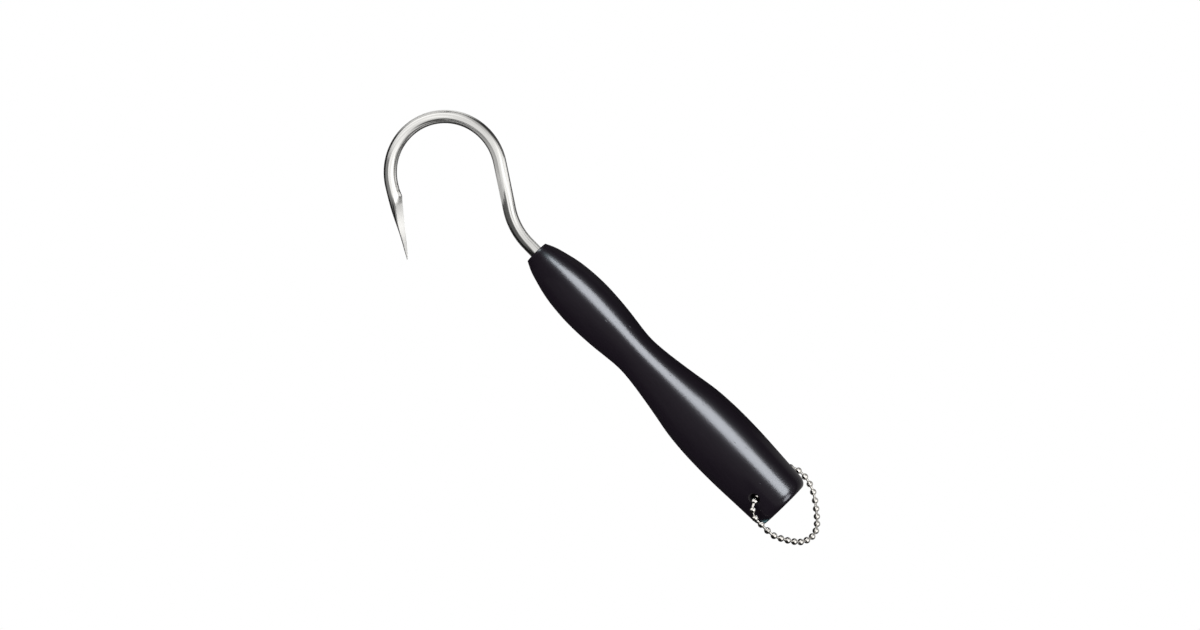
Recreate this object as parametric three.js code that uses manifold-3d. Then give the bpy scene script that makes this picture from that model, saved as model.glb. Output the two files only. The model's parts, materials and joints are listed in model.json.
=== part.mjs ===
// A hand gaff lying on a table: a turned hardwood handle with a black lacquer, a round stainless
// rod bent into a hook with a ground claw, and a loop of bead chain through a cross hole in the butt.
// Millimetres, +Z up. The handle lies along X with the hook towards +X and the claw towards +Y.
// The origin is at the middle of the bounding box, on the table.

import * as THREE from 'three';
import { mergeVertices } from 'three/addons/utils/BufferGeometryUtils.js';
import Module from 'manifold-3d';

const wasm = await Module();
wasm.setup();

const DEGREE = Math.PI / 180;

// Handle, measured from its front face backwards
const handleLength = 127;
const frontFaceRadius = 4.3;
const neckRadius = 9.86;
const neckStation = 27.4;
const waistRadius = 7.9;
const waistStation = 50.8;
const palmRadius = 12.7;
const palmFromButt = 30.5;
const buttRadius = 11.65;
const frontEdgeRound = 0.4;
const buttEdgeRound = 2.4;
const handleSides = 32;
const stretchSteps = 7;
const edgeSteps = 3;

// The swell between two named radii, as [share of the stretch, share of the change in radius]
const frontSwellShares = [[0.1, 0.25], [0.25, 0.5], [0.45, 0.76], [0.7, 0.94]];
const neckFallShares = [[0.25, 0.13], [0.5, 0.38], [0.75, 0.75]];
const palmRiseShares = [
  [0.12, 0.06], [0.3, 0.285], [0.5, 0.6], [0.63, 0.81], [0.76, 0.93], [0.88, 0.985],
];
const buttFallShares = [[0.3, 0.14], [0.6, 0.5]];

// Hook, a rod bent in one plane, measured along its centreline from the handle's front face
const rodRadius = 2.4;
const neckStraight = 4.5;
const neckBendRadius = 24.5;
const neckBendAngle = 33.3 * DEGREE;
const shankLength = 17.2;
const hookBendRadius = 20.4;
const hookBendAngle = 180 * DEGREE;
const clawLength = 28;
const rodSides = 14;
const bendStep = 9 * DEGREE;

// The claw as [share of its length, outer edge, inner edge, half thickness], in rod radii.
// The ground inner edge starts at a sharp heel, and the needle point is a little blunted.
const clawShares = [
  [0.09, 0.98, 1.03, 0.97],
  [0.175, 0.95, 1.25, 0.92],
  [0.3, 0.88, 1.03, 0.84],
  [0.44, 0.7, 0.86, 0.72],
  [0.58, 0.47, 0.68, 0.56],
  [0.73, 0.28, 0.5, 0.38],
  [0.88, 0.15, 0.3, 0.22],
  [1, 0.05, 0.06, 0.05],
];

// Tang, the rod's straight end inside the handle, with glue grooves
const tangLength = 50;
const tangGrooves = 4;
const tangGroovePitch = 9;
const tangGrooveWidth = 1.6;
const tangGrooveDepth = 0.4;
const tangChamfer = 0.8;
const seatGap = 0.3;
const boreSides = 24;

// Cross hole for the chain
const holeRadius = 2;
const holeFromButt = 9.2;
const holeLean = 19 * DEGREE;
const holeChamfer = 0.5;
const holeSides = 20;
const overrun = 2;

// Bead chain: hollow balls joined by pins with a head at each end
const ballCount = 30;
// At each end of the chain, the balls that are made in one with the pin that leaves them
const pinnedBalls = 3;
const ballRadius = 1.2;
const ballWall = 0.12;
const ballPitch = 3.17;
const poleHoleRadius = 0.33;
const pinShaftRadius = 0.18;
const pinHeadRadius = 0.42;
const pinHeadDepth = 0.72;
const pinHeadLength = 0.2;
const ballSides = 8;
const ballRows = 5;
const pinSides = 6;

// Clasp inside the cross hole, which holds the chain's two end balls
const claspSeatGap = 0.12;
const claspSheet = 0.25;
const claspBallSpacing = 5;
const claspSlotWidth = 1.1;

// Lay of the chain
const mouthBendRadius = 4.6;
const strandGap = 0.15;
const crestRise = 0.6;
const strandTurn = 46 * DEGREE;
const strandMiddle = 6.2;
const strandAside = 4.4;
const buttClearance = 0.5;
const farStrandTurn = 12 * DEGREE;
const rollLimit = 45 * DEGREE;
const routeSamples = 1500;
const solveRounds = 40;
const turnShares = [0, 1 / 3, 2 / 3, 1];

// The bow beyond the butt as [share of the reach beyond the butt, share of the handle's radius at the
// hole aside, share of the height from the table to the rim]. It slopes from the rim to the table.
const bowShares = [
  [0.21, 0.87, 0.977],
  [0.37, 0.8, 0.923],
  [0.5, 0.725, 0.86],
  [0.63, 0.63, 0.79],
  [0.77, 0.51, 0.7],
  [0.89, 0.37, 0.6],
  [0.985, 0.1, 0.46],
  [0.965, -0.16, 0.335],
  [0.85, -0.38, 0.215],
  [0.7, -0.56, 0.115],
  [0.54, -0.735, 0.04],
  [0.38, -0.88, 0],
  [0.22, -0.98, 0],
  [0.06, -1.04, 0],
];
// The run beside the butt as [share of the way from the hole to the butt, share of the radius aside]
const besideShares = [
  [0.9, -1.065],
  [0.6, -1.06],
  [0.3, -1.0],
];

// Colours
const lacquer = new THREE.MeshStandardMaterial({ color: 0x1b181c, roughness: 0.32, metalness: 0 });
const stainless = new THREE.MeshStandardMaterial({ color: 0xc6c4c0, roughness: 0.25, metalness: 1 });
const nickel = new THREE.MeshStandardMaterial({ color: 0xcfccc6, roughness: 0.18, metalness: 1 });
const spring = new THREE.MeshStandardMaterial({ color: 0xbdbab4, roughness: 0.3, metalness: 1 });

const UP = new THREE.Vector3(0, 1, 0);

// Solids

function toSolid(geometry) {
  const bare = geometry.clone();
  bare.deleteAttribute('normal');
  bare.deleteAttribute('uv');
  const merged = mergeVertices(bare);
  return new wasm.Manifold(new wasm.Mesh({
    numProp: 3,
    vertProperties: new Float32Array(merged.attributes.position.array),
    triVerts: new Uint32Array(merged.index.array),
  }));
}

function toGeometry(solid) {
  const mesh = solid.getMesh();
  const geometry = new THREE.BufferGeometry();
  geometry.setAttribute('position', new THREE.BufferAttribute(mesh.vertProperties, 3));
  geometry.setIndex(new THREE.BufferAttribute(mesh.triVerts, 1));
  geometry.computeVertexNormals();
  return geometry;
}

// A body turned about Y, whose outline starts and ends on the axis or closes on itself
function turned(outline, sides) {
  const points = outline.map(([radius, along]) => new THREE.Vector2(radius, along));
  return new THREE.LatheGeometry(points, sides);
}

function turnAndShift(geometry, axis, place) {
  geometry.applyQuaternion(new THREE.Quaternion().setFromUnitVectors(UP, axis));
  geometry.translate(place.x, place.y, place.z);
  return geometry;
}

// Handle

const palmStation = handleLength - palmFromButt;

function stretch(from, to, shares) {
  const knots = [from, ...shares.map(([along, change]) => [
    from[0] + along * (to[0] - from[0]),
    from[1] + change * (to[1] - from[1]),
  ]), to];
  const points = knots.map(([station, radius]) => new THREE.Vector3(station, radius, 0));
  return new THREE.CatmullRomCurve3(points);
}

// Rounded rim points from the side onto an end face; outward is +1 for the butt and -1 for the front
function rim(faceStation, sideRadius, round, outward) {
  const points = [];
  for (let step = 0; step <= edgeSteps; step += 1) {
    const angle = (step / edgeSteps) * Math.PI / 2;
    points.push([
      faceStation - outward * round * (1 - Math.sin(angle)),
      sideRadius - round * (1 - Math.cos(angle)),
    ]);
  }
  return points;
}

// The outline from the front face to the butt, as [station, radius]
function handleOutline() {
  const frontSide = [frontEdgeRound, frontFaceRadius + frontEdgeRound];
  const buttSide = [handleLength - buttEdgeRound, buttRadius];
  const stretches = [
    stretch(frontSide, [neckStation, neckRadius], frontSwellShares),
    stretch([neckStation, neckRadius], [waistStation, waistRadius], neckFallShares),
    stretch([waistStation, waistRadius], [palmStation, palmRadius], palmRiseShares),
    stretch([palmStation, palmRadius], buttSide, buttFallShares),
  ];
  const points = rim(0, frontFaceRadius + frontEdgeRound, frontEdgeRound, -1).reverse();
  for (const curve of stretches) {
    for (const point of curve.getPoints(stretchSteps).slice(1)) {
      points.push([point.x, point.y]);
    }
  }
  return points.concat(rim(handleLength, buttRadius, buttEdgeRound, 1).slice(1));
}

const outline = handleOutline();

function radiusAt(station) {
  const next = outline.findIndex(([at], index) => index > 0 && at >= station);
  const [at0, radius0] = outline[next - 1];
  const [at1, radius1] = outline[next];
  return radius0 + (radius1 - radius0) * (station - at0) / (at1 - at0);
}

const holeStation = handleLength - holeFromButt;
const holeSurface = radiusAt(holeStation);
const holeAxis = new THREE.Vector3(0, Math.sin(holeLean), Math.cos(holeLean));
const holeCentre = new THREE.Vector3(-holeStation, 0, 0);

// A round cutter along the cross hole, wider at both mouths
function crossHoleCutter() {
  const wide = holeRadius + holeChamfer + overrun;
  const mouth = holeSurface - holeChamfer;
  const far = holeSurface + overrun;
  return turnAndShift(turned([
    [0, -far], [wide, -far], [holeRadius, -mouth], [holeRadius, mouth], [wide, far], [0, far],
  ], holeSides), holeAxis, holeCentre);
}

function tangBoreCutter() {
  const radius = rodRadius + seatGap;
  const depth = tangLength + seatGap;
  const bore = turned([
    [0, -overrun], [radius, -overrun], [radius, depth - radius / 2], [0, depth + radius / 2],
  ], boreSides);
  bore.rotateZ(Math.PI / 2);
  return bore;
}

function handleGeometry(facetTurn) {
  const profile = outline.map(([station, radius]) => [radius, station]);
  const body = turned([[0, 0], ...profile, [0, handleLength]], handleSides);
  body.rotateZ(Math.PI / 2);
  body.rotateX(facetTurn);
  const drilled = toSolid(body).subtract(toSolid(crossHoleCutter()));
  return toGeometry(drilled.subtract(toSolid(tangBoreCutter())));
}

// Hook

// A pen that walks along the rod's centreline in the hook's plane
function startPen() {
  return { x: 0, y: 0, heading: 0 };
}

function goStraight(pen, length) {
  return {
    x: pen.x + length * Math.cos(pen.heading),
    y: pen.y + length * Math.sin(pen.heading),
    heading: pen.heading,
  };
}

function goRound(pen, radius, angle) {
  const side = Math.sign(angle);
  const centreX = pen.x - side * radius * Math.sin(pen.heading);
  const centreY = pen.y + side * radius * Math.cos(pen.heading);
  const heading = pen.heading + angle;
  return {
    x: centreX + side * radius * Math.sin(heading),
    y: centreY - side * radius * Math.cos(heading),
    heading,
  };
}

function bendPens(pen, radius, angle) {
  const steps = Math.ceil(Math.abs(angle) / bendStep);
  const pens = [];
  for (let step = 1; step <= steps; step += 1) {
    pens.push(goRound(pen, radius, angle * step / steps));
  }
  return pens;
}

// One cross-section: the outer edge lies right of the heading, the inner edge left of it
function section(pen, outer, inner, thick) {
  return { ...pen, outer, inner, thick };
}

function roundSection(pen, radius) {
  return section(pen, radius, radius, radius);
}

function tangSections() {
  const radius = rodRadius - tangGrooveDepth;
  const sections = [
    roundSection({ x: -tangLength, y: 0, heading: 0 }, rodRadius - tangChamfer),
    roundSection({ x: -tangLength + tangChamfer, y: 0, heading: 0 }, rodRadius),
  ];
  for (let groove = 0; groove < tangGrooves; groove += 1) {
    const middle = -tangLength + tangGroovePitch * (groove + 0.5);
    const half = tangGrooveWidth / 2;
    sections.push(roundSection({ x: middle - half - tangGrooveDepth, y: 0, heading: 0 }, rodRadius));
    sections.push(roundSection({ x: middle - half, y: 0, heading: 0 }, radius));
    sections.push(roundSection({ x: middle + half, y: 0, heading: 0 }, radius));
    sections.push(roundSection({ x: middle + half + tangGrooveDepth, y: 0, heading: 0 }, rodRadius));
  }
  return sections;
}

function hookSections() {
  const neckEnd = goStraight(startPen(), neckStraight);
  const neckBend = bendPens(neckEnd, neckBendRadius, -neckBendAngle);
  const shankEnd = goStraight(neckBend.at(-1), shankLength);
  const hookBend = bendPens(shankEnd, hookBendRadius, hookBendAngle);
  const rodPens = [startPen(), neckEnd, ...neckBend, shankEnd, ...hookBend];
  const claw = clawShares.map(([along, outer, inner, thick]) => section(
    goStraight(hookBend.at(-1), along * clawLength),
    outer * rodRadius,
    inner * rodRadius,
    thick * rodRadius,
  ));
  return [...tangSections(), ...rodPens.map((pen) => roundSection(pen, rodRadius)), ...claw];
}

function sectionRing({ x, y, heading, outer, inner, thick }) {
  const ring = [];
  for (let side = 0; side < rodSides; side += 1) {
    const angle = (side / rodSides) * 2 * Math.PI;
    const aside = Math.cos(angle) > 0 ? -outer * Math.cos(angle) : -inner * Math.cos(angle);
    ring.push(new THREE.Vector3(
      x - aside * Math.sin(heading),
      y + aside * Math.cos(heading),
      thick * Math.sin(angle),
    ));
  }
  return ring;
}

// A closed skin through a row of rings with equal numbers of points
function skinned(rings) {
  const sides = rings[0].length;
  const points = rings.flat();
  const faces = [];
  for (let row = 0; row + 1 < rings.length; row += 1) {
    for (let side = 0; side < sides; side += 1) {
      const here = row * sides + side;
      const beside = row * sides + (side + 1) % sides;
      faces.push(here, beside + sides, beside, here, here + sides, beside + sides);
    }
  }
  for (const [row, turn] of [[0, 1], [rings.length - 1, -1]]) {
    const middle = points.length;
    const sum = rings[row].reduce((total, point) => total.add(point), new THREE.Vector3());
    points.push(sum.divideScalar(sides));
    for (let side = 0; side < sides; side += 1) {
      const here = row * sides + side;
      const beside = row * sides + (side + 1) % sides;
      faces.push(middle, turn > 0 ? here : beside, turn > 0 ? beside : here);
    }
  }
  const geometry = new THREE.BufferGeometry().setFromPoints(points);
  geometry.setIndex(faces);
  geometry.computeVertexNormals();
  return geometry;
}

const hookGeometry = skinned(hookSections().map(sectionRing));

// How the gaff lies: on both swells of the handle, rolled until the claw side touches the table

function lowestOn(points, slope) {
  const height = ([along, level]) => level - slope * along;
  return points.reduce((low, point) => (height(point) < height(low) ? point : low));
}

function restingLine() {
  const under = outline.map(([station, radius]) => [-station, -radius]);
  const front = under.filter(([along]) => -along < waistStation);
  const rear = under.filter(([along]) => -along >= waistStation);
  let slope = 0;
  let touch = front[0];
  for (let round = 0; round < solveRounds; round += 1) {
    const low = lowestOn(rear, slope);
    touch = lowestOn(front, slope);
    slope = (low[1] - touch[1]) / (low[0] - touch[0]);
  }
  return { slope, touch };
}

const resting = restingLine();
const pitch = Math.atan(resting.slope);

// From the gaff's own frame to the table's, before the table is moved to the bottom
function lie(roll) {
  const rollPart = new THREE.Matrix4().makeRotationX(-roll);
  return new THREE.Matrix4().makeRotationY(pitch).multiply(rollPart);
}

const tableLevel = new THREE.Vector3(resting.touch[0], 0, resting.touch[1]).applyMatrix4(lie(0)).z;

function hookLow(roll) {
  const laid = hookGeometry.clone().applyMatrix4(lie(roll));
  laid.computeBoundingBox();
  return laid.boundingBox.min.z;
}

function restingRoll() {
  let low = 0;
  let high = rollLimit;
  for (let round = 0; round < solveRounds; round += 1) {
    const middle = (low + high) / 2;
    if (hookLow(middle) > tableLevel) {
      low = middle;
    } else {
      high = middle;
    }
  }
  return (low + high) / 2;
}

const roll = restingRoll();
const laidMatrix = new THREE.Matrix4().makeTranslation(0, 0, -tableLevel).multiply(lie(roll));

// Chain

// The cross hole's own frame on the table: towards the butt, aside, and out of the front mouth
const alongHole = holeAxis.clone().transformDirection(laidMatrix);
const towardsButt = new THREE.Vector3(-1, 0, 0).transformDirection(laidMatrix);
const asideHole = new THREE.Vector3().crossVectors(alongHole, towardsButt).normalize();
if (asideHole.y < 0) {
  asideHole.negate();
}
const holePlace = holeCentre.clone().applyMatrix4(laidMatrix);

function atHole(towards, aside, out) {
  return holePlace.clone()
    .addScaledVector(towardsButt, towards)
    .addScaledVector(asideHole, aside)
    .addScaledVector(alongHole, out);
}

// A place on or above the table, given by its distance from the hole towards the butt
function onTable(towards, aside, height) {
  return new THREE.Vector3(holePlace.x - towards, aside, height);
}

const strandLevel = holeSurface + ballRadius + strandGap;
const rimLevel = buttRadius + ballRadius + strandGap;
const crestLevel = strandLevel + crestRise;
const bendStart = crestLevel - mouthBendRadius;
const insideBalls = 1 + Math.floor((bendStart - claspBallSpacing / 2) / ballPitch);
const insideReach = claspBallSpacing / 2 + (insideBalls - 1) * ballPitch;

// The turn out of the front mouth onto the handle's side
function frontTurn() {
  const points = [];
  for (const share of turnShares) {
    const angle = share * Math.PI / 2;
    const aside = mouthBendRadius * (1 - Math.cos(angle));
    points.push(atHole(
      aside * Math.cos(strandTurn),
      aside * Math.sin(strandTurn),
      bendStart + mouthBendRadius * Math.sin(angle),
    ));
  }
  return points;
}

// The turn out of the far mouth, down onto the table; given from the table to the mouth
function farTurn() {
  const down = alongHole.clone().negate();
  const flat = new THREE.Vector3(-Math.sin(farStrandTurn), -Math.cos(farStrandTurn), 0);
  const angle = Math.acos(down.dot(flat));
  const inner = flat.clone().addScaledVector(down, -Math.cos(angle)).normalize();
  const drop = mouthBendRadius * (Math.sin(angle) * -down.z + (1 - Math.cos(angle)) * -inner.z);
  const start = (holePlace.z - ballRadius - drop) / -down.z;
  const points = [];
  for (const share of turnShares.toReversed()) {
    const turn = share * angle;
    points.push(holePlace.clone()
      .addScaledVector(down, start + mouthBendRadius * Math.sin(turn))
      .addScaledVector(inner, mouthBendRadius * (1 - Math.cos(turn))));
  }
  return points;
}

function route(reach) {
  const rimPlace = atHole(holeFromButt + buttClearance, strandAside, rimLevel);
  const height = rimPlace.z - ballRadius;
  const points = [
    atHole(0, 0, insideReach),
    ...frontTurn(),
    atHole(strandMiddle, strandAside, strandLevel + crestRise / 2),
    rimPlace,
    ...bowShares.map(([out, aside, up]) => onTable(
      holeFromButt + out * reach,
      aside * holeSurface,
      ballRadius + up * height,
    )),
    ...besideShares.map(([out, aside]) => onTable(
      out * holeFromButt,
      aside * holeSurface,
      ballRadius,
    )),
    ...farTurn(),
    atHole(0, 0, -insideReach),
  ];
  const line = new THREE.CatmullRomCurve3(points, false, 'centripetal').getPoints(routeSamples);
  line.forEach((point) => point.setZ(Math.max(point.z, ballRadius)));
  return line;
}

// Steps along a line in equal straight steps, and says how many fit, with the last one's share
function walk(line, step) {
  const places = [line[0]];
  for (let index = 1; index < line.length; index += 1) {
    const last = places.at(-1);
    const before = line[index - 1].distanceTo(last);
    const after = line[index].distanceTo(last);
    if (after >= step) {
      places.push(line[index - 1].clone().lerp(line[index], (step - before) / (after - before)));
    }
  }
  return { places, steps: places.length - 1 + places.at(-1).distanceTo(line.at(-1)) / step };
}

const freeSteps = ballCount - 2 * insideBalls + 1;

// The reach beyond the butt that takes up the whole length of the chain
function chainReach() {
  let low = 0;
  let high = ballCount * ballPitch;
  for (let round = 0; round < solveRounds; round += 1) {
    const middle = (low + high) / 2;
    if (walk(route(middle), ballPitch).steps < freeSteps) {
      low = middle;
    } else {
      high = middle;
    }
  }
  return (low + high) / 2;
}

function ballPlaces() {
  const inside = [];
  for (let index = 0; index + 1 < insideBalls; index += 1) {
    inside.push(claspBallSpacing / 2 + index * ballPitch);
  }
  const free = walk(route(chainReach()), ballPitch).places.slice(0, freeSteps);
  return [
    ...inside.map((out) => atHole(0, 0, out)),
    ...free,
    ...[...inside, insideReach].reverse().map((out) => atHole(0, 0, -out)),
  ];
}

const balls = ballPlaces();

// The direction through a ball's two pole holes
function ballAxis(index) {
  const before = index > 0 ? balls[index].clone().sub(balls[index - 1]).normalize() : null;
  const after = index + 1 < balls.length ? balls[index + 1].clone().sub(balls[index]).normalize() : null;
  if (!before) {
    return after;
  }
  return after ? before.add(after).normalize() : before;
}

const axes = balls.map((_, index) => ballAxis(index));
const poleReach = ballRadius - ballWall / 2;

// A hollow ball with a hole at each pole
function ballGeometry() {
  const ball = [];
  const rows = (radius, backwards) => {
    const start = Math.asin(poleHoleRadius / radius);
    for (let row = 0; row <= ballRows; row += 1) {
      const share = backwards ? 1 - row / ballRows : row / ballRows;
      const angle = start + share * (Math.PI - 2 * start);
      ball.push([radius * Math.sin(angle), -radius * Math.cos(angle)]);
    }
  };
  rows(ballRadius, false);
  rows(ballRadius - ballWall, true);
  ball.push(ball[0]);
  return turned(ball, ballSides);
}

// A pin along Y from one pole to the next, with its middle at zero
function pinGeometry() {
  const half = ballPitch / 2 - poleReach;
  const neck = half + pinHeadDepth - pinHeadLength;
  const rimAt = half + pinHeadDepth;
  const tip = rimAt + pinHeadLength;
  return turned([
    [0, -tip], [pinHeadRadius, -rimAt], [pinShaftRadius, -neck],
    [pinShaftRadius, neck], [pinHeadRadius, rimAt], [0, tip],
  ], pinSides);
}

function pinPlace(index) {
  const from = balls[index].clone().addScaledVector(axes[index], poleReach);
  const to = balls[index + 1].clone().addScaledVector(axes[index + 1], -poleReach);
  return { middle: from.clone().add(to).divideScalar(2), direction: to.sub(from).normalize() };
}

// A ball made one with the pin that leaves it along its axis; side is +1 or -1
function pinnedBallGeometry(side) {
  const pin = pinGeometry();
  pin.translate(0, side * ballPitch / 2, 0);
  const collarRadius = poleHoleRadius + ballWall;
  const collar = turned([
    [0, poleReach - ballWall], [collarRadius, poleReach - ballWall],
    [collarRadius, poleReach], [0, poleReach],
  ], ballSides);
  if (side < 0) {
    collar.rotateX(Math.PI);
  }
  return toGeometry(toSolid(ballGeometry()).add(toSolid(collar)).add(toSolid(pin)));
}

// A folded sheet clasp: a slotted sleeve whose end walls hold the pins of the end balls
function claspGeometry() {
  const inner = ballRadius + claspSeatGap;
  const outer = inner + claspSheet;
  const pocket = claspBallSpacing / 2 + ballRadius + claspSeatGap;
  const end = pocket + claspSheet;
  const body = turned([[0, -end], [outer, -end], [outer, end], [0, end]], holeSides);
  const pocketCutter = turned([[0, -pocket], [inner, -pocket], [inner, pocket], [0, pocket]], holeSides);
  const slot = new THREE.BoxGeometry(outer + overrun, 2 * (end + overrun), claspSlotWidth);
  slot.translate((outer + overrun) / 2, 0, 0);
  const solid = toSolid(body).subtract(toSolid(pocketCutter)).subtract(toSolid(slot));
  const way = turned([
    [0, -end - overrun], [poleHoleRadius + claspSeatGap, -end - overrun],
    [poleHoleRadius + claspSeatGap, end + overrun], [0, end + overrun],
  ], ballSides);
  return toGeometry(solid.subtract(toSolid(way)));
}

// Assembly

function piece(name, geometry, material) {
  const mesh = new THREE.Mesh(geometry, material);
  mesh.name = name;
  return mesh;
}

function laid(mesh, axis, place) {
  mesh.quaternion.setFromUnitVectors(UP, axis);
  mesh.position.copy(place);
  return mesh;
}

function numbered(name, index) {
  return `${name}_${String(index + 1).padStart(2, '0')}`;
}

const gaff = new THREE.Group();

// The handle's facets are turned so that one lies flat towards the table
const tool = new THREE.Group();
laidMatrix.decompose(tool.position, tool.quaternion, tool.scale);
tool.add(piece('handle', handleGeometry(roll + Math.PI / handleSides), lacquer));
tool.add(piece('hook', hookGeometry, stainless));
gaff.add(tool);

const chain = new THREE.Group();
chain.add(laid(piece('chain_clasp', claspGeometry(), spring), alongHole, holePlace));
balls.forEach((place, index) => {
  const fromBack = balls.length - 1 - index;
  const pinned = Math.min(index, fromBack) < pinnedBalls;
  const side = index < fromBack ? 1 : -1;
  const geometry = pinned ? pinnedBallGeometry(side) : ballGeometry();
  chain.add(laid(piece(numbered('chain_ball', index), geometry, nickel), axes[index], place));
});
for (let index = pinnedBalls; index + 1 + pinnedBalls < balls.length; index += 1) {
  const { middle, direction } = pinPlace(index);
  chain.add(laid(piece(numbered('chain_pin', index), pinGeometry(), nickel), direction, middle));
}
gaff.add(chain);

// The origin goes to the middle of the bounding box, on the table
gaff.updateMatrixWorld(true);
const bounds = new THREE.Box3().setFromObject(gaff, true);
const centre = bounds.getCenter(new THREE.Vector3());
gaff.position.set(-centre.x, -centre.y, -bounds.min.z);
gaff.updateMatrixWorld(true);

export default gaff;
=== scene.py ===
# %% [markdown]
# # A short hand gaff
# A gaff is the hook that lands a fish. This one has a turned hardwood handle under black lacquer, a
# stainless rod bent into a hook and ground to a claw, and a loop of bead chain through the butt.
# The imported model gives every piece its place. This script gives the pieces their fine surfaces, their
# finishes and their light, and it works in metres. Sizes are written in millimetres, times MM.

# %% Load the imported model
import json
import math

import bmesh
import bpy
import numpy as np
from mathutils import Matrix, Vector


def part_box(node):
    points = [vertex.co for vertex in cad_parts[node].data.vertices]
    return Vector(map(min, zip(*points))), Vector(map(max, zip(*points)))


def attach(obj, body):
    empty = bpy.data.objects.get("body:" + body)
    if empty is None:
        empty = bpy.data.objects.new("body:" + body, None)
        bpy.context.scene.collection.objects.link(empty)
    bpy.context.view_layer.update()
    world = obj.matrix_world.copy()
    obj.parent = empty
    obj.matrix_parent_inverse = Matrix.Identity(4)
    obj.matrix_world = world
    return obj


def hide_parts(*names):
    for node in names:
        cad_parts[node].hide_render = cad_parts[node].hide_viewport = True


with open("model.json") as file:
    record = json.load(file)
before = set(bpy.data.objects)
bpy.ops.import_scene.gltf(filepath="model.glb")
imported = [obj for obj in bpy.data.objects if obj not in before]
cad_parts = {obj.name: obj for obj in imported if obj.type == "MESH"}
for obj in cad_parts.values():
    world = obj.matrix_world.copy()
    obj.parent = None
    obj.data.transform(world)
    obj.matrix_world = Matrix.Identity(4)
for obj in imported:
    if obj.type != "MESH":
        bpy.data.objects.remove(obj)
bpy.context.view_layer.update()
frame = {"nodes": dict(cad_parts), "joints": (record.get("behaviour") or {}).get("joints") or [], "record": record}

MM = 0.001

# %% [markdown]
# ## Where the gaff lies
# The gaff lies a little tilted: on both swells of its handle and on the side of its claw. Its own axes
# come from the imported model, so nothing has to be fitted by eye. The butt face gives the handle's
# axis, and the hook, which is bent in one plane, is thinnest across that plane.

# %% The gaff's own axes
HANDLE_LENGTH = 127 * MM

butt_face = next(m for m in frame["record"]["mounts"] if m["name"] == "butt_face")
butt = Vector(butt_face["pos_m"])
forwards = -Vector(butt_face["axis"]).normalized()

hook_points = np.array([vertex.co for vertex in frame["nodes"]["hook"].data.vertices])
spread = np.linalg.svd(hook_points - hook_points.mean(axis=0), full_matrices=False)[2]
out_of_plane = Vector(spread[2]) * math.copysign(1, spread[2][2])
sideways = out_of_plane.cross(forwards).normalized()
upwards = forwards.cross(sideways)
front = butt + HANDLE_LENGTH * forwards

# From the gaff's own frame (hook towards +X, claw towards +Y, zero at the front face) to the table's
lying = Matrix((forwards, sideways, upwards)).transposed().to_4x4()
lying.translation = front
print("front face at", [round(v / MM, 2) for v in front], "mm")

# %% [markdown]
# ## The camera
# The photograph looks straight down on the gaff, which points up and to the left. A long lens from
# over a metre away keeps the handle's outline free of perspective, as a product photographer would.

# %% Place the camera
MM_PER_PIXEL = 0.36
FRAME_PIXELS = 1200
SENSOR_WIDTH = 36
LENS = 100
VIEW_BACK = 32.1 * MM
VIEW_ASIDE = -0.6 * MM
GAFF_ANGLE = math.radians(134.33)


def new_object(name, data):
    """A new object in the scene, with this data."""
    made = bpy.data.objects.new(name, data)
    bpy.context.scene.collection.objects.link(made)
    return made


distance = LENS / SENSOR_WIDTH * FRAME_PIXELS * MM_PER_PIXEL * MM
camera_data = bpy.data.cameras.new("overhead_camera")
camera_data.lens = LENS
camera_data.sensor_width = SENSOR_WIDTH
camera = new_object("overhead_camera", camera_data)
camera.location = (front.x - VIEW_BACK, front.y + VIEW_ASIDE, front.z + distance)
camera.rotation_euler = (0, 0, -GAFF_ANGLE)
bpy.context.scene.camera = camera
print("camera", round(distance, 3), "m above the gaff")

# %% [markdown]
# ## Small tools
# Hex colours are written for a screen, so one function turns them to the linear values that Blender
# mixes. One sets the inputs of a node, and one adds a node with its settings and links, for materials
# and for Geometry Nodes alike. A node stands for its first output. The last two start a material, and
# a mesh object from its points and faces.

# %% Helpers
def linear(hex_colour):
    """The linear red, green, blue and alpha of an sRGB hex colour."""
    channels = [int(hex_colour[i:i + 2], 16) / 255 for i in (1, 3, 5)]
    return (*[c / 12.92 if c <= 0.04045 else ((c + 0.055) / 1.055) ** 2.4 for c in channels], 1)


def set_inputs(node, inputs):
    """Gives each input, by name or number, its value or the node or socket that feeds it."""
    for key, value in inputs.items():
        if isinstance(value, bpy.types.Node):
            value = value.outputs[0]
        if isinstance(value, bpy.types.NodeSocket):
            node.id_data.links.new(value, node.inputs[key])
        else:
            node.inputs[key].default_value = value


def add_node(tree, kind, inputs=None, **settings):
    """A new node with its settings and inputs."""
    node = tree.nodes.new(kind)
    for name, value in settings.items():
        setattr(node, name, value)
    set_inputs(node, inputs or {})
    return node


def new_material(name):
    """A new material, its tree, its shader, and the place of each point, in metres, for its patterns."""
    material = bpy.data.materials.new(name)
    material.use_nodes = True
    tree = material.node_tree
    place = add_node(tree, "ShaderNodeTexCoord").outputs["Object"]
    return material, tree, tree.nodes["Principled BSDF"], place


def mesh_object(name, points, faces=(), edges=()):
    """A mesh object at the origin, with its place in its points."""
    mesh = bpy.data.meshes.new(name)
    mesh.from_pydata([tuple(p) for p in points], edges, faces)
    mesh.validate()
    return new_object(name, mesh)


print("screen grey #808080 is", round(linear("#808080")[0], 3), "in linear light")

# %% [markdown]
# ## Black lacquer on turned hardwood
# The handle is a close-grained hardwood, turned on a lathe, dipped in black lacquer and left satin. To
# the eye it is a deep black with a violet cast, one long soft highlight, the faint run of the grain
# under the film, an open pore here and there, and a fine unevenness like the skin of an orange.
# Lacquer is a clear film over colour, so a coat over a duller base is the nearest thing to it.

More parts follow.
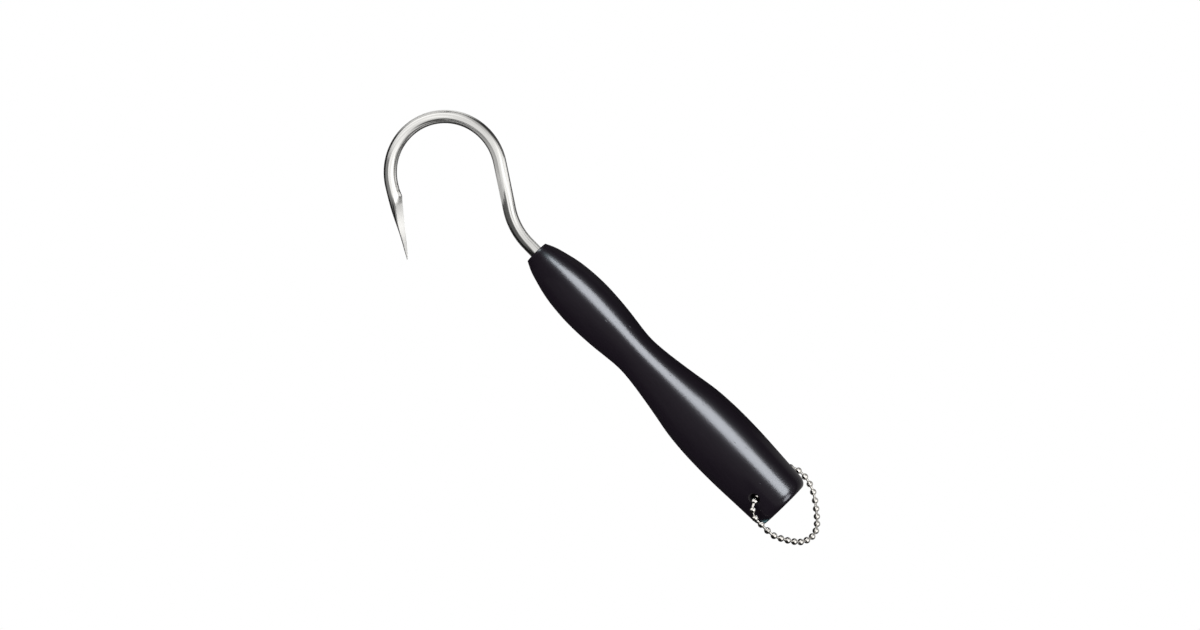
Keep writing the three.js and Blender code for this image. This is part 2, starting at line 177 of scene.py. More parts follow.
# %% Lacquered hardwood
def lacquered_hardwood():
    material, tree, shader, place = new_material("black_lacquered_hardwood")

    # Grain runs along the handle: about 9 mm long streaks, 0.45 mm wide
    along_grain = add_node(tree, "ShaderNodeMapping", {
        "Vector": place, "Scale": (1 / (9 * MM), 1 / (0.45 * MM), 1 / (0.45 * MM)),
    })
    grain = add_node(tree, "ShaderNodeTexNoise", {
        "Vector": along_grain, "Scale": 1, "Detail": 3, "Roughness": 0.6,
    })
    # Lacquer lies in soft waves about 1.6 mm apart
    skin = add_node(tree, "ShaderNodeTexNoise", {
        "Vector": place, "Scale": 1 / (1.6 * MM), "Detail": 1, "Roughness": 0.4,
    })
    # Pores that the film didn't fill: one every 4 mm or so, drawn 0.35 mm wide so that they show
    pore_place = add_node(tree, "ShaderNodeMapping", {
        "Vector": place, "Scale": (1 / (6 * MM), 1 / (3.2 * MM), 1 / (3.2 * MM)),
    })
    pore_cells = add_node(tree, "ShaderNodeTexVoronoi", {"Vector": pore_place, "Scale": 1})
    pores = add_node(tree, "ShaderNodeMapRange", {
        "Value": pore_cells.outputs["Distance"],
        "From Min": 0.04, "From Max": 0.09, "To Min": 1, "To Max": 0,
    }, interpolation_type="SMOOTHSTEP")

    # Where hands rub, the film is a little duller and greyer, in patches some 20 mm across
    handled = add_node(tree, "ShaderNodeTexNoise", {
        "Vector": place, "Scale": 1 / (20 * MM), "Detail": 4, "Roughness": 0.55,
    })
    tint = add_node(tree, "ShaderNodeMix", {
        "Factor": handled, 6: linear("#1a151c"), 7: linear("#1e1920"),
    }, data_type="RGBA")
    streaked = add_node(tree, "ShaderNodeMix", {
        "Factor": grain, 6: tint.outputs[2], 7: linear("#141016"),
    }, data_type="RGBA")
    rough = add_node(tree, "ShaderNodeMapRange", {
        "Value": handled, "From Min": 0.3, "From Max": 0.7, "To Min": 0.22, "To Max": 0.27,
    })

    film = add_node(tree, "ShaderNodeBump", {"Strength": 0.25, "Distance": 0.005 * MM, "Height": skin})
    over_grain = add_node(tree, "ShaderNodeBump", {
        "Strength": 0.2, "Distance": 0.003 * MM, "Height": grain, "Normal": film,
    })
    pitted = add_node(tree, "ShaderNodeBump", {
        "Strength": 0.6, "Distance": 0.05 * MM, "Height": pores, "Normal": over_grain,
    }, invert=True)
    set_inputs(shader, {
        "Base Color": streaked.outputs[2], "Roughness": rough, "Normal": pitted, "Coat Normal": pitted,
        "IOR": 1.5, "Specular IOR Level": 0.06, "Coat Weight": 0.025, "Coat Roughness": 0.24,
    })
    return material


def stained_hardwood_with_painted_fill():
    """The wall of a drilled hole: dyed wood with no film, open grain round the drill, its tone a little lighter
    than the lacquer's as painted fill light that lifts the shade deep in the hole.
    """
    material, tree, shader, place = new_material("stained_end_grain_painted_fill")
    # Wood fibres about 0.2 mm thick, cut across
    fibres = add_node(tree, "ShaderNodeTexNoise", {
        "Vector": place, "Scale": 1 / (0.2 * MM), "Detail": 3, "Roughness": 0.6,
    })
    # Both tones are a little lighter than the lacquer's: painted fill light against the shade inside the hole,
    # over the dyed wood's own colour
    tone = add_node(tree, "ShaderNodeMix", {
        "Factor": fibres, 6: linear("#1e191d"), 7: linear("#292327"),
    }, data_type="RGBA")
    raised = add_node(tree, "ShaderNodeBump", {"Strength": 0.4, "Distance": 0.03 * MM, "Height": fibres})
    set_inputs(shader, {
        "Base Color": tone.outputs[2], "Roughness": 0.8, "Specular IOR Level": 0.04, "Normal": raised,
    })
    return material


lacquer = lacquered_hardwood()
bare_wood_painted_fill = stained_hardwood_with_painted_fill()
print("made", lacquer.name, "and", bare_wood_painted_fill.name)

# %% [markdown]
# ## Polished stainless rod and its ground claw
# The hook is cold-drawn stainless rod, polished along its length. Drawing leaves hair lines that run
# with the rod, and polishing leaves soft cloudy patches, so the roughness varies while the colour
# hardly does. The claw was ground on a wheel, which leaves lines across it and a duller, brighter face.
# Both finishes read the rod's own UV map, which is its length and its girth in metres.

# %% Drawn and ground steel
def drawn_steel(name, colour, line_length, line_width, roughness, line_depth, belt_depth):
    """Bare steel with fine lines that are line_length long and line_width wide on the rod's UV map."""
    material, tree, shader, place = new_material(name)
    unrolled = add_node(tree, "ShaderNodeUVMap", uv_map="rod_uv")
    line_place = add_node(tree, "ShaderNodeMapping", {
        "Vector": unrolled, "Scale": (1 / line_length, 1 / line_width, 1),
    })
    lines = add_node(tree, "ShaderNodeTexNoise", {
        "Vector": line_place, "Scale": 1, "Detail": 4, "Roughness": 0.7,
    })
    # Polishing clouds about 7 mm across
    clouds = add_node(tree, "ShaderNodeTexNoise", {
        "Vector": place, "Scale": 1 / (7 * MM), "Detail": 3, "Roughness": 0.5,
    })
    mixed = add_node(tree, "ShaderNodeMath", {0: lines, 1: clouds}, operation="ADD")
    rough = add_node(tree, "ShaderNodeMapRange", {
        "Value": mixed, "From Min": 0.7, "From Max": 1.3, "To Min": roughness[0], "To Max": roughness[1],
    })
    tone = add_node(tree, "ShaderNodeMix", {
        "Factor": lines, 6: linear(colour[0]), 7: linear(colour[1]),
    }, data_type="RGBA")
    bump = add_node(tree, "ShaderNodeBump", {"Strength": 0.5, "Distance": line_depth, "Height": lines})
    # Broad flats that the belt left along the bends, about 30 mm long and 1.3 mm wide
    belt_place = add_node(tree, "ShaderNodeMapping", {
        "Vector": unrolled, "Scale": (1 / (30 * MM), 1 / (1.3 * MM), 1),
    })
    belt = add_node(tree, "ShaderNodeTexNoise", {
        "Vector": belt_place, "Scale": 1, "Detail": 1, "Roughness": 0.4,
    })
    belted = add_node(tree, "ShaderNodeBump", {
        "Strength": 1, "Distance": belt_depth, "Height": belt, "Normal": bump,
    })
    set_inputs(shader, {"Base Color": tone.outputs[2], "Metallic": 1, "Roughness": rough, "Normal": belted})
    return material


# Real draw lines are near 0.02 mm; drawn 0.12 mm wide so that they show
stainless = drawn_steel("polished_drawn_stainless", ("#d0cfcc", "#e2e1de"),
                        14 * MM, 0.12 * MM, (0.14, 0.26), 0.003 * MM, 0.5 * MM)
# Wheel lines run across the claw, so they are short along the rod and long round it
ground = drawn_steel("wheel_ground_stainless", ("#cfcecb", "#e2e1de"),
                     0.14 * MM, 5 * MM, (0.28, 0.4), 0.004 * MM, 0.02 * MM)
print("made", stainless.name, "and", ground.name)

# %% [markdown]
# ## Nickel plate
# The chain is brass strip rolled into balls and plated with bright nickel. Nickel is a warm white
# metal. Each ball keeps the hairline where its strip closed, which runs from pole to pole, and plating
# never comes out equally bright all round, so the shine varies a little from ball to ball.

# %% Bright nickel
def bright_nickel():
    material, tree, shader, place = new_material("bright_nickel_plate")
    bead_uv = add_node(tree, "ShaderNodeUVMap", uv_map="bead_uv")
    around = add_node(tree, "ShaderNodeSeparateXYZ", {"Vector": bead_uv})
    # The seam runs where half the girth is round, and is one hundredth of it wide, about 0.08 mm
    from_seam = add_node(tree, "ShaderNodeMath", {0: around, 1: 0.5}, operation="SUBTRACT")
    aside = add_node(tree, "ShaderNodeMath", {0: from_seam}, operation="ABSOLUTE")
    seam = add_node(tree, "ShaderNodeMapRange", {
        "Value": aside, "From Min": 0.004, "From Max": 0.012, "To Min": 1, "To Max": 0,
    }, interpolation_type="SMOOTHSTEP")
    clouds = add_node(tree, "ShaderNodeTexNoise", {
        "Vector": place, "Scale": 1 / (2.5 * MM), "Detail": 3, "Roughness": 0.6,
    })
    tone = add_node(tree, "ShaderNodeMix", {
        "Factor": clouds, 6: linear("#d8d4cd"), 7: linear("#eae7e2"),
    }, data_type="RGBA")
    seamed = add_node(tree, "ShaderNodeMix", {
        "Factor": seam, 6: tone.outputs[2], 7: linear("#6d675e"),
    }, data_type="RGBA")
    rough = add_node(tree, "ShaderNodeMapRange", {
        "Value": clouds, "From Min": 0.3, "From Max": 0.7, "To Min": 0.1, "To Max": 0.22,
    })
    groove = add_node(tree, "ShaderNodeBump", {
        "Strength": 0.6, "Distance": 0.02 * MM, "Height": seam,
    }, invert=True)
    set_inputs(shader, {
        "Base Color": seamed.outputs[2], "Metallic": 1, "Roughness": rough, "Normal": groove,
    })
    return material


nickel = bright_nickel()
print("made", nickel.name)

# %% [markdown]
# ## The turned handle
# A turned handle is one outline spun round one axis. So the outline is a short list of radii, joined by
# one smooth spline, and a tree sweeps a circle along the axis, as wide at each point as the outline
# says. The spline matters: two arcs that only touch would show as a kink in the long highlight.

# %% The handle's outline
def smooth_through(knots, stations):
    """Values at the stations of a natural cubic spline through the knots, (station, value) pairs."""
    at, value = np.array(knots, dtype=float).T
    gap = np.diff(at)
    slope = np.diff(value) / gap
    size = len(at)
    matrix = np.eye(size)
    right = np.zeros(size)
    for i in range(1, size - 1):
        matrix[i, i - 1:i + 2] = gap[i - 1], 2 * (gap[i - 1] + gap[i]), gap[i]
        right[i] = 6 * (slope[i] - slope[i - 1])
    bend = np.linalg.solve(matrix, right)
    i = np.clip(np.searchsorted(at, stations) - 1, 0, size - 2)
    t = stations - at[i]
    return (value[i] + t * (slope[i] - gap[i] * (2 * bend[i] + bend[i + 1]) / 6)
            + t ** 2 * bend[i] / 2 + t ** 3 * (bend[i + 1] - bend[i]) / (6 * gap[i]))


def between(start, end, shares):
    """Points of a stretch from start to end, each given as shares of its length and of its change."""
    return [(start[0] + along * (end[0] - start[0]), start[1] + change * (end[1] - start[1]))
            for along, change in shares]


FRONT_FACE_RADIUS = 4.3
FRONT_ROUND = 0.4
NECK = (27.4, 9.86)
WAIST = (50.8, 7.9)
PALM = (96.5, 12.7)
BUTT_RADIUS = 11.65
BUTT_ROUND = 2.4
BUTT_ROUND_LENGTH = 3.8
FRONT_SHARES = ((0.1, 0.25), (0.25, 0.5), (0.45, 0.76), (0.7, 0.94))
NECK_FALL_SHARES = ((0.25, 0.13), (0.5, 0.38), (0.75, 0.75))
PALM_RISE_SHARES = ((0.12, 0.06), (0.3, 0.285), (0.5, 0.6), (0.63, 0.81), (0.76, 0.93), (0.88, 0.985))
BUTT_FALL_SHARES = ((0.3, 0.14), (0.6, 0.5))
STATION_COUNT = 150
RIM_STEPS = 12

length_mm = HANDLE_LENGTH / MM
front_side = (FRONT_ROUND, FRONT_FACE_RADIUS + FRONT_ROUND)
butt_side = (length_mm - BUTT_ROUND_LENGTH, BUTT_RADIUS)
knots = [front_side, *between(front_side, NECK, FRONT_SHARES), NECK,
         *between(NECK, WAIST, NECK_FALL_SHARES), WAIST,
         *between(WAIST, PALM, PALM_RISE_SHARES), PALM,
         *between(PALM, butt_side, BUTT_FALL_SHARES), butt_side]


def rounded_rim(face, side_radius, size, length, outward):
    """Points round an edge, from the side onto the end face. outward is +1 for the butt."""
    angles = [step / RIM_STEPS * math.pi / 2 for step in range(RIM_STEPS + 1)]
    return [(face - outward * length * (1 - math.sin(a)), side_radius - size * (1 - math.cos(a)))
            for a in angles]


stations = np.linspace(front_side[0], butt_side[0], STATION_COUNT)
outline = rounded_rim(0, front_side[1], FRONT_ROUND, FRONT_ROUND, -1)[::-1]
outline += list(zip(stations[1:-1], smooth_through(knots, stations[1:-1])))
outline += rounded_rim(length_mm, BUTT_RADIUS, BUTT_ROUND, BUTT_ROUND_LENGTH, 1)
print("outline of", len(outline), "points, widest", round(2 * max(r for _, r in outline), 2), "mm")

# %% Helpers for Geometry Nodes
def new_geometry_tree(title, sizes):
    """A tree with a geometry input and output, and a named input of its kind for each size in sizes."""
    tree = bpy.data.node_groups.new(title, "GeometryNodeTree")
    for in_out in ("INPUT", "OUTPUT"):
        tree.interface.new_socket("Geometry", in_out=in_out, socket_type="NodeSocketGeometry")
    for name, kind in sizes.items():
        tree.interface.new_socket(name, in_out="INPUT", socket_type="NodeSocket" + kind)
    return tree


def set_attribute(source, name, kind, values):
    """Gives every point of the source its value."""
    key = "vector" if kind == "FLOAT_VECTOR" else "value"
    source.data.attributes.new(name, kind, "POINT").data.foreach_set(key, values)


def evaluated_mesh(source):
    """The mesh that comes out of the object's modifiers."""
    bpy.context.view_layer.update()
    return bpy.data.meshes.new_from_object(source.evaluated_get(bpy.context.evaluated_depsgraph_get()))


def made_by_tree(source, tree, values, name):
    """The plain mesh that the tree makes of the source object, with these input values."""
    modifier = source.modifiers.new(tree.name, "NODES")
    modifier.node_group = tree
    for item in tree.interface.items_tree:
        if item.in_out == "INPUT" and item.name in values:
            modifier[item.identifier] = values[item.name]
    mesh = evaluated_mesh(source)
    mesh.name = name
    bpy.data.objects.remove(source)
    return new_object(name, mesh)


# %% The tree that turns the handle
HANDLE_SIDES = 160

turning = new_geometry_tree("turning", {"Sides": "Int", "Finish": "Material"})
entry = add_node(turning, "NodeGroupInput").outputs
axis_line = add_node(turning, "GeometryNodeMeshToCurve", {"Mesh": entry["Geometry"]})
radius = add_node(turning, "GeometryNodeInputNamedAttribute", {"Name": "radius"})
circle = add_node(turning, "GeometryNodeCurvePrimitiveCircle", {"Resolution": entry["Sides"]})
turned = add_node(turning, "GeometryNodeCurveToMesh", {
    "Curve": axis_line, "Profile Curve": circle, "Scale": radius, "Fill Caps": True,
})
real = add_node(turning, "GeometryNodeRealizeInstances", {"Geometry": turned})
painted = add_node(turning, "GeometryNodeSetMaterial", {"Geometry": real, "Material": entry["Finish"]})
add_node(turning, "NodeGroupOutput", {"Geometry": painted})

line = mesh_object("handle_axis", [lying @ Vector((-at * MM, 0, 0)) for at, _ in outline],
                   edges=[(i, i + 1) for i in range(len(outline) - 1)])
set_attribute(line, "radius", "FLOAT", [r * MM for _, r in outline])
handle = made_by_tree(line, turning, {"Sides": HANDLE_SIDES, "Finish": lacquer}, "turned_handle")
print("handle of", len(handle.data.polygons), "faces")

# %% [markdown]
# ## The holes in the handle
# Two holes are drilled after turning: one from the front for the tang, and a slanting one across the
# butt for the chain. A Boolean cut with a drill's own shape gives the true oval mouths, which would be
# hard to draw by hand. Each drill is widened at the mouth to leave the small chamfer of a real hole.

# %% Drill the handle
ROD_RADIUS = 2.4 * MM
TANG_LENGTH = 50 * MM
SEAT_GAP = 0.3 * MM
HOLE_FROM_BUTT = 9.2 * MM
HOLE_RADIUS = 2 * MM
HOLE_CHAMFER = 0.3 * MM
OVERRUN = 2 * MM
HOLE_SIDES = 48

swing = next(j for j in frame["joints"] if j["name"] == "chain_swing")
hole_centre = Vector(swing["pos_m"])
hole_axis = Vector(swing["axis"]).normalized()


def tube_faces(count, size):
    """The faces of a closed tube of count rings, with size points in each."""
    faces = [tuple(reversed(range(size))), tuple(range((count - 1) * size, count * size))]
    for ring in range(count - 1):
        for i in range(size):
            here, beside = ring * size + i, ring * size + (i + 1) % size
            faces.append((here, beside, beside + size, here + size))
    return faces


def drill(name, start, direction, steps):
    """A closed round cutter. steps are (distance along it, radius) pairs."""
    turn = direction.to_track_quat("Z", "Y")
    points = []
    for along, size in steps:
        for side in range(HOLE_SIDES):
            angle = 2 * math.pi * side / HOLE_SIDES
            points.append(start + turn @ Vector((size * math.cos(angle), size * math.sin(angle), along)))
    cutter = mesh_object(name, points, tube_faces(len(steps), HOLE_SIDES))
    # The hole's wall gets the dyed wood, toned lighter as painted fill light against the shade in the hole
    cutter.data.materials.append(bare_wood_painted_fill)
    return cutter


def cut(piece, cutter):
    """Cuts the cutter out of the piece for good and removes the cutter."""
    modifier = piece.modifiers.new("cut", "BOOLEAN")
    modifier.operation = "DIFFERENCE"
    modifier.solver = "EXACT"
    modifier.material_mode = "TRANSFER"
    modifier.object = cutter
    mesh = evaluated_mesh(piece)
    piece.modifiers.clear()
    piece.data = mesh
    bpy.data.objects.remove(cutter)


def smooth(piece, crease):
    """Smooth shading, but sharp edges where two faces meet at more than crease degrees."""
    for polygon in piece.data.polygons:
        polygon.use_smooth = True
    piece.data.set_sharp_from_angle(angle=math.radians(crease))


# The cross drill widens where it meets the handle's surface
hole_surface = np.interp(length_mm - HOLE_FROM_BUTT / MM, *np.array(outline).T) * MM
mouth = hole_surface - HOLE_CHAMFER
far = hole_surface + OVERRUN
wide = HOLE_RADIUS + HOLE_CHAMFER + OVERRUN
cut(handle, drill("cross_drill", hole_centre, hole_axis, [
    (-far, wide), (-mouth, HOLE_RADIUS), (mouth, HOLE_RADIUS), (far, wide),
]))
bore = ROD_RADIUS + SEAT_GAP
depth = TANG_LENGTH + SEAT_GAP
cut(handle, drill("tang_drill", front, -forwards, [
    (-OVERRUN, bore), (depth - bore / 2, bore), (depth + bore / 2, bore / 20),
]))
smooth(handle, crease=28)
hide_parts("handle")
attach(handle, "gaff")
print("drilled handle of", len(handle.data.polygons), "faces")

# %% [markdown]
# ## The bent hook
# The rod is bent twice in one plane: a short bend away from the handle, then half a turn. Its centreline
# is worked out as a pen would draw it, straight or round, and a ring of points is set square to the pen
# at every step. Rings of equal count are easy to join, and they let the round rod change shape.

# %% The pen that draws the centreline
NECK_STRAIGHT = 4.5 * MM
NECK_BEND = (24.5 * MM, math.radians(-33.3))
SHANK = 17.2 * MM
HOOK_BEND = (20.4 * MM, math.radians(180))
CLAW_LENGTH = 28 * MM
BEND_STEP = math.radians(2)


def straight(pens, length, steps):
    """Draws straight on. A pen is its place and its heading."""
    x, y, heading = pens[-1]
    for step in range(1, steps + 1):
        run = length * step / steps
        pens.append((x + run * math.cos(heading), y + run * math.sin(heading), heading))


def bend(pens, size, angle):
    """Draws round a bend of that radius. A positive angle turns from +X towards +Y."""
    x, y, heading = pens[-1]
    side = math.copysign(size, angle)
    middle_x, middle_y = x - side * math.sin(heading), y + side * math.cos(heading)
    steps = math.ceil(abs(angle) / BEND_STEP)
    for step in range(1, steps + 1):
        turn = heading + angle * step / steps
        pens.append((middle_x + side * math.sin(turn), middle_y - side * math.cos(turn), turn))


pens = [(0, 0, 0)]
straight(pens, NECK_STRAIGHT, 4)
bend(pens, *NECK_BEND)
straight(pens, SHANK, 12)
bend(pens, *HOOK_BEND)
print("rod drawn in", len(pens), "steps")

# %% [markdown]
# ## The tang and the claw
# Inside the handle the rod goes on as a tang, with grooves that the glue grips. At the other end the
# claw is ground: two flats slope from a ridge to a sharp inner edge, which starts at a heel, and the
# back behind the ridge is ground a little too. So each claw ring has a back between round and flat and
# two straight flats, and the first rings blend from the round rod, as the grinding wheel runs in.

# %% Sections of the tang, rod and claw
TANG_GROOVES = 4
GROOVE_PITCH = 9 * MM
GROOVE_WIDTH = 1.6 * MM
GROOVE_DEPTH = 0.4 * MM
TANG_CHAMFER = 0.8 * MM
RING_POINTS = 48
CLAW_RINGS = 90

# Along the claw, in rod radii: outer edge, inner edge, half thickness, and how far the ridge lies inward
CLAW_SHARES = (0, 0.09, 0.175, 0.3, 0.44, 0.58, 0.73, 0.88, 1)
OUTER_SHARES = (1, 0.98, 0.95, 0.88, 0.7, 0.47, 0.28, 0.15, 0.04)
INNER_SHARES = (1, 1.03, 1.25, 1.03, 0.86, 0.68, 0.5, 0.3, 0.05)
THICK_SHARES = (1, 0.97, 0.9, 0.77, 0.66, 0.53, 0.35, 0.18, 0.04)
RIDGE_SHARES = (0.14, 0.16, 0.17, 0.08, -0.08, -0.14, 0.0, 0.06, 0.01)
# How far the round back was ground to a slope of its own, from 0, round, to 1, flat
BACK_SHARES = (0, 0.12, 0.35, 0.6, 0.55, 0.45, 0.4, 0.3, 0.3)
HEEL = 0.175
GRIND_STARTS, GRIND_FULL = 0.12, 0.27


def share(along, shares, first=0):
    """The share at a point along the claw, on a smooth curve through the shares from number first on."""
    return smooth_through(list(zip(CLAW_SHARES[first:], shares[first:])), np.array([along]))[0]


def section(pen, outer, inner, thick, ridge=0.0, back=0.0, flat=0.0):
    """One ring round the pen. flat goes from 0, a round rod, to 1, two flats and a sharp inner edge.

    The back is ground with the flats, and back goes from 0, still round, to 1, a slope of its own.
    """
    x, y, heading = pen
    ring = []
    for i in range(RING_POINTS):
        angle = 2 * math.pi * i / RING_POINTS
        lift = math.sin(angle)
        if math.cos(angle) > 0:
            round_aside = -outer * math.cos(angle)
            flat_aside = ridge - (outer + ridge) * math.cos(angle)
            flat_lift = lift + back * (math.copysign(1 - math.cos(angle), lift) - lift)
        else:
            inward = 1 - math.asin(abs(lift)) / (math.pi / 2)
            round_aside = -inner * math.cos(angle)
            flat_aside = ridge + (inner - ridge) * inward
            flat_lift = math.copysign(1 - inward, lift)
        aside = round_aside + flat * (flat_aside - round_aside)
        rise = thick * (lift + flat * (flat_lift - lift))
        ring.append(lying @ Vector((x - aside * math.sin(heading), y + aside * math.cos(heading), rise)))
    return ring


def round_section(pen, size):
    return section(pen, size, size, size)


rings = [round_section((-TANG_LENGTH, 0, 0), ROD_RADIUS - TANG_CHAMFER)]
rings.append(round_section((-TANG_LENGTH + TANG_CHAMFER, 0, 0), ROD_RADIUS))
for groove in range(TANG_GROOVES):
    middle = -TANG_LENGTH + GROOVE_PITCH * (groove + 0.5)
    half, floor = GROOVE_WIDTH / 2, ROD_RADIUS - GROOVE_DEPTH
    for offset, size in ((-half - GROOVE_DEPTH, ROD_RADIUS), (-half, floor), (half, floor),
                         (half + GROOVE_DEPTH, ROD_RADIUS)):
        rings.append(round_section((middle + offset, 0, 0), size))
rings += [round_section(pen, ROD_RADIUS) for pen in pens]
first_claw_ring = len(rings)

claw_pens = [pens[-1]]
straight(claw_pens, CLAW_LENGTH, CLAW_RINGS)
for number, pen in enumerate(claw_pens[1:], start=1):
    along = number / CLAW_RINGS
    outer, thick, ridge = (share(along, shares) for shares in (OUTER_SHARES, THICK_SHARES, RIDGE_SHARES))
    back = share(along, BACK_SHARES)
    # The heel is a corner, so the inner edge is straight up to it and smooth after it
    if along < HEEL:
        inner = np.interp(along, CLAW_SHARES, INNER_SHARES)
    else:
        inner = share(along, INNER_SHARES, CLAW_SHARES.index(HEEL))
    flat = min(1, max(0, (along - GRIND_STARTS) / (GRIND_FULL - GRIND_STARTS)))
    rings.append(section(pen, *(size * ROD_RADIUS for size in (outer, inner, thick, ridge)), back, flat))
print(len(rings), "rings,", len(rings) - first_claw_ring, "of them on the claw")

# %% Join the rings into the hook
hook = mesh_object("bent_hook", [point for ring in rings for point in ring],
                   tube_faces(len(rings), RING_POINTS))
builder = bmesh.new()
builder.from_mesh(hook.data)
bmesh.ops.recalc_face_normals(builder, faces=builder.faces)

# The rod's UV map: metres along it and metres round it
middles = [sum(ring, Vector()) / len(ring) for ring in rings]
lengths = [0.0]
for previous, current in zip(middles, middles[1:]):
    lengths.append(lengths[-1] + (current - previous).length)
unrolled = builder.loops.layers.uv.new("rod_uv")
for face in builder.faces:
    numbers = [loop.vert.index % RING_POINTS for loop in face.loops]
    wraps = max(numbers) == RING_POINTS - 1 and min(numbers) == 0
    for loop, number in zip(face.loops, numbers):
        turn = RING_POINTS if wraps and number == 0 else number
        girth = 2 * math.pi * ROD_RADIUS * turn / RING_POINTS
        loop[unrolled].uv = (lengths[loop.vert.index // RING_POINTS], girth)
    ring = min(loop.vert.index for loop in face.loops) // RING_POINTS
    on_flats = RING_POINTS / 4 <= min(numbers) < RING_POINTS * 3 / 4 and not wraps
    face.material_index = int(on_flats and ring >= first_claw_ring + HEEL * CLAW_RINGS)
builder.to_mesh(hook.data)
builder.free()
hook.data.materials.append(stainless)
hook.data.materials.append(ground)
smooth(hook, crease=24)
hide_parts("hook")
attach(hook, "gaff")
low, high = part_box("hook")
made = np.array([vertex.co for vertex in hook.data.vertices])
differs = [*(made.min(axis=0) - low), *(made.max(axis=0) - high)]
print("hook differs from its solid by", [round(float(v) / MM, 2) for v in differs], "mm")

# %% [markdown]
# ## The bead chain
# Bead chain is hollow balls, 2.4 mm across, with a short pin between every two. What repeats is left to
# Geometry Nodes: each ball and each pin is one point that carries its direction, and the tree puts a
# ball or a pin on it. Every length of chain that moves by itself becomes one mesh. The pins are drawn
# 0.9 mm thick, which is more than the real ones, so that they show from where the camera is.

# %% Where the balls and pins are
BALL_COUNT = 30
BALL_RADIUS = 1.2 * MM
BALL_PITCH = 3.17 * MM
CLASP_BALL_SPACING = 5 * MM
HIDDEN_BALLS = 3


def ball_centre(number):
    """The balls in the cross hole lie on its axis, and the others are in the middle of their boxes."""
    from_end = min(number, BALL_COUNT + 1 - number)
    if from_end > HIDDEN_BALLS:
        node = f"chain_ball_{number:02d}"
        low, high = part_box(node)
        return (Vector(low) + Vector(high)) / 2
    out = CLASP_BALL_SPACING / 2 + (from_end - 1) * BALL_PITCH
    return hole_centre + hole_axis * (out if number == from_end else -out)


balls = {number: ball_centre(number) for number in range(1, BALL_COUNT + 1)}


def ball_direction(number):
    """The line through a ball's two holes, half way between its neighbours' directions."""
    steps = [(balls[b] - balls[a]).normalized() for a, b in ((number - 1, number), (number, number + 1))
             if a in balls and b in balls]
    return sum(steps, Vector()).normalized()


print(len(balls), "balls, spaced", BALL_PITCH / MM, "mm")

# %% How far each pin reaches into its two balls
# Where two lengths of chain turn on each other, the pin stops at the ball's skin and has room to tilt
PIN_REACH = 0.265 * MM
PIN_REACH_AT_JOINT = 0.05 * MM

bodies = frame["record"]["behaviour"]["bodies"]
body_of = {name: body for body, nodes in bodies.items() for name in nodes}


def body_of_pin(number):
    """A hidden ball's solid already holds the pin that leaves it."""
    return body_of.get(f"chain_pin_{number:02d}") or body_of["chain_clasp"]


pins = {}
for number in range(1, BALL_COUNT):
    ends = []
    for ball, way in ((number, 1), (number + 1, -1)):
        fixed = body_of[f"chain_ball_{ball:02d}"] == body_of_pin(number)
        from_centre = BALL_RADIUS - (PIN_REACH if fixed else PIN_REACH_AT_JOINT)
        ends.append(balls[ball] + way * ball_direction(ball) * from_centre)
    pins[number] = ends
print(len(pins), "pins, the shortest", round(min((b - a).length for a, b in pins.values()) / MM, 2), "mm")

# %% The tree that strings the chain
BALL_SEGMENTS, BALL_RINGS = 28, 20
PIN_SIDES = 16

beads = new_geometry_tree("bead_chain", {
    "Ball Radius": "Float", "Pole Height": "Float", "Hole Radius": "Float", "Hole Depth": "Float",
    "Pin Radius": "Float", "Finish": "Material", "Seed": "Int",
})
entry = add_node(beads, "NodeGroupInput").outputs
sphere = add_node(beads, "GeometryNodeMeshUVSphere", {
    "Segments": BALL_SEGMENTS, "Rings": BALL_RINGS, "Radius": entry["Ball Radius"],
})
uv_sphere = add_node(beads, "GeometryNodeStoreNamedAttribute", {
    "Geometry": sphere.outputs["Mesh"], "Name": "bead_uv", "Value": sphere.outputs["UV Map"],
}, data_type="FLOAT2", domain="CORNER")

# Points near a pole sink to the hole's floor, and the rest of the cap is pressed flat
position = add_node(beads, "GeometryNodeInputPosition")
x, y, z = add_node(beads, "ShaderNodeSeparateXYZ", {"Vector": position}).outputs
flat_part = add_node(beads, "ShaderNodeCombineXYZ", {"X": x, "Y": y})
away = add_node(beads, "ShaderNodeVectorMath", {0: flat_part}, operation="LENGTH").outputs["Value"]
in_hole = add_node(beads, "ShaderNodeMath", {0: away, 1: entry["Hole Radius"]}, operation="LESS_THAN")
height = add_node(beads, "ShaderNodeMath", {0: z}, operation="ABSOLUTE")
capped = add_node(beads, "ShaderNodeMath", {0: height, 1: entry["Pole Height"]}, operation="MINIMUM")
sunk = add_node(beads, "ShaderNodeMath", {0: in_hole, 1: entry["Hole Depth"]}, operation="MULTIPLY")
level = add_node(beads, "ShaderNodeMath", {0: capped, 1: sunk}, operation="SUBTRACT")
side = add_node(beads, "ShaderNodeMath", {0: z}, operation="SIGN")
signed = add_node(beads, "ShaderNodeMath", {0: level, 1: side}, operation="MULTIPLY")
pressed = add_node(beads, "ShaderNodeCombineXYZ", {"X": x, "Y": y, "Z": signed})
ball = add_node(beads, "GeometryNodeSetPosition", {"Geometry": uv_sphere, "Position": pressed})
# The pin is a metre long here and is scaled to its own length on its point
pin = add_node(beads, "GeometryNodeMeshCylinder", {
    "Vertices": PIN_SIDES, "Radius": entry["Pin Radius"], "Depth": 1,
})
print("a ball and a pin take", len(beads.nodes), "nodes")

# %% Set a ball or a pin on every point
is_pin, direction, pin_length = (
    add_node(beads, "GeometryNodeInputNamedAttribute", {"Name": name}, data_type=kind)
    for name, kind in (("is_pin", "BOOLEAN"), ("direction", "FLOAT_VECTOR"), ("pin_length", "FLOAT")))
is_ball = add_node(beads, "FunctionNodeBooleanMath", {0: is_pin}, operation="NOT")
aligned = add_node(beads, "FunctionNodeAlignRotationToVector", {"Vector": direction}, axis="Z")
